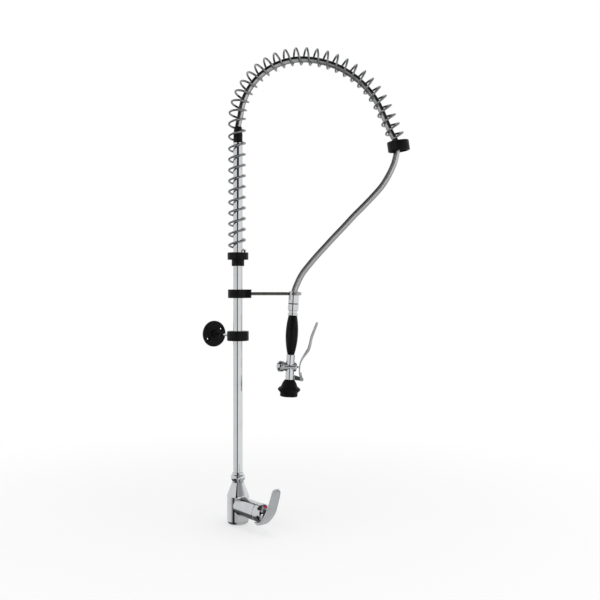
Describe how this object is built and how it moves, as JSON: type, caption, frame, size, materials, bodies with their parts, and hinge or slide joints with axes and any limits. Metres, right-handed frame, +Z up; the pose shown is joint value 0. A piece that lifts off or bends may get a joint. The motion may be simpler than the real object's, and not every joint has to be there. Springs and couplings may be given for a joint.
{
  "type": "pre rinse faucet",
  "caption": "Single-lever mixer with a tall riser, a spring arch and a hose that carries a trigger spray gun, steadied by a hook and a wall bracket.",
  "frame": {"origin": "centre of the mixer body's deck face", "axes": "+Z up the riser, +X along the arch's reach towards the spray gun"},
  "size_m": [0.4839, 0.2291, 1.0932],
  "materials": {
    "chrome": "polished chrome plate on brass",
    "spring_steel": "bright plated spring wire",
    "hose_sheath": "satin steel outer layer of a flexible hose",
    "trigger_metal": "satin stainless strip",
    "steel": "plain stainless steel",
    "brass": "turned brass",
    "black_plastic": "moulded black plastic, fine grain",
    "grip_rubber": "satin black rubber",
    "bumper_rubber": "matt black rubber",
    "seal_rubber": "black seal rubber",
    "cartridge_plastic": "moulded off-white plastic",
    "red_plastic": "clear red",
    "blue_plastic": "clear blue"
  },
  "bodies": {
    "mixer": {"mixer_body": "chrome", "cartridge_gasket": "seal_rubber", "cartridge": "cartridge_plastic", "cartridge_nut": "brass", "cartridge_cover": "chrome", "union_nut": "chrome"},
    "cartridge_disc": {"cartridge_carrier": "cartridge_plastic"},
    "lever": {"cartridge_stem": "brass", "stem_pin": "steel", "mixer_lever": "chrome", "lever_screw": "steel", "hot_mark": "red_plastic", "cold_mark": "blue_plastic"},
    "riser": {"riser_foot": "brass", "riser_seals": "seal_rubber", "riser_tube": "chrome", "spring_collar": "black_plastic", "collar_screw": "steel", "arch_spring": "spring_steel", "hose_nipple": "brass", "hose_sleeve": "black_plastic", "arch_hose": "hose_sheath", "end_collar": "black_plastic", "drop_hose": "hose_sheath"},
    "hook": {"hook_clamp": "black_plastic", "hook_rod": "chrome", "hook_clamp_screw": "steel", "hook_rod_screw": "steel"},
    "bracket": {"bracket_ring": "black_plastic", "bracket_screw": "steel", "bracket_rod": "chrome"},
    "flange": {"wall_flange": "black_plastic"},
    "hose_end": {"hose_nut": "chrome", "hose_tail": "brass"},
    "gun": {"swivel_clip": "steel", "swivel_washer": "seal_rubber", "swivel_sleeve": "chrome", "handle_tube": "brass", "grip_ring": "chrome", "handle_grip": "grip_rubber", "valve_body": "chrome", "valve_cap": "chrome", "cap_seal": "seal_rubber", "valve_spring": "steel", "stem_seal": "seal_rubber", "gland_nut": "chrome", "trigger_pin": "steel", "spray_body": "brass", "spray_face": "steel", "face_screw": "steel", "spray_bumper": "bumper_rubber"},
    "trigger": {"trigger": "trigger_metal"},
    "valve": {"valve_poppet": "brass", "poppet_washer": "seal_rubber", "valve_stem": "steel"}
  },
  "joints": [
    {"name": "lever_turn", "type": "hinge", "parent": "mixer", "child": "cartridge_disc", "pos_m": [0, 0, 0.043], "axis": [0.6088, -0.7934, 0], "range_deg": [-45, 45]},
    {"name": "lever_lift", "type": "hinge", "parent": "cartridge_disc", "child": "lever", "pos_m": [0.04505, -0.05871, 0.043], "axis": [0.7934, 0.6088, 0], "range_deg": [0, 18]},
    {"name": "riser_swivel", "type": "hinge", "parent": "mixer", "child": "riser", "pos_m": [0, 0, 0.1], "axis": [0, 0, 1], "range_deg": [-150, 45]},
    {"name": "hook_height", "type": "slide", "parent": "riser", "child": "hook", "axis": [0, 0, 1], "range_m": [-0.01, 0.004]},
    {"name": "bracket_height", "type": "slide", "parent": "mixer", "child": "bracket", "axis": [0, 0, 1], "range_m": [-0.28, 0.06]},
    {"name": "flange_turn", "type": "hinge", "parent": "bracket", "child": "flange", "pos_m": [-0.06209, 0.08092, 0.4305], "axis": [-0.6088, 0.7934, 0], "continuous": true},
    {"name": "gun_pull", "type": "slide", "parent": "riser", "child": "hose_end", "axis": [0.0506, 0, 0.9987], "range_m": [-0.015, 0], "stiffness_N_per_m": 300, "springref_m": 0.06, "deforming": ["drop_hose"]},
    {"name": "gun_turn", "type": "hinge", "parent": "hose_end", "child": "gun", "pos_m": [0.12744, 0, 0.50443], "axis": [0.0506, 0, 0.9987], "continuous": true},
    {"name": "trigger_squeeze", "type": "hinge", "parent": "gun", "child": "trigger", "pos_m": [0.14666, 0, 0.33053], "axis": [0, -1, 0], "range_deg": [0, 8], "stiffness_Nm_per_rad": 3, "springref_deg": -2.86},
    {"name": "stem_press", "type": "slide", "parent": "gun", "child": "valve", "axis": [-0.9987, 0, 0.0506], "range_m": [0, 0.0039], "stiffness_N_per_m": 600, "springref_m": -0.002, "deforming": ["valve_spring"]}
  ],
  "couplings": [
    {"joint": "stem_press", "follows": "trigger_squeeze", "m_per_rad": 0.0275}
  ]
}
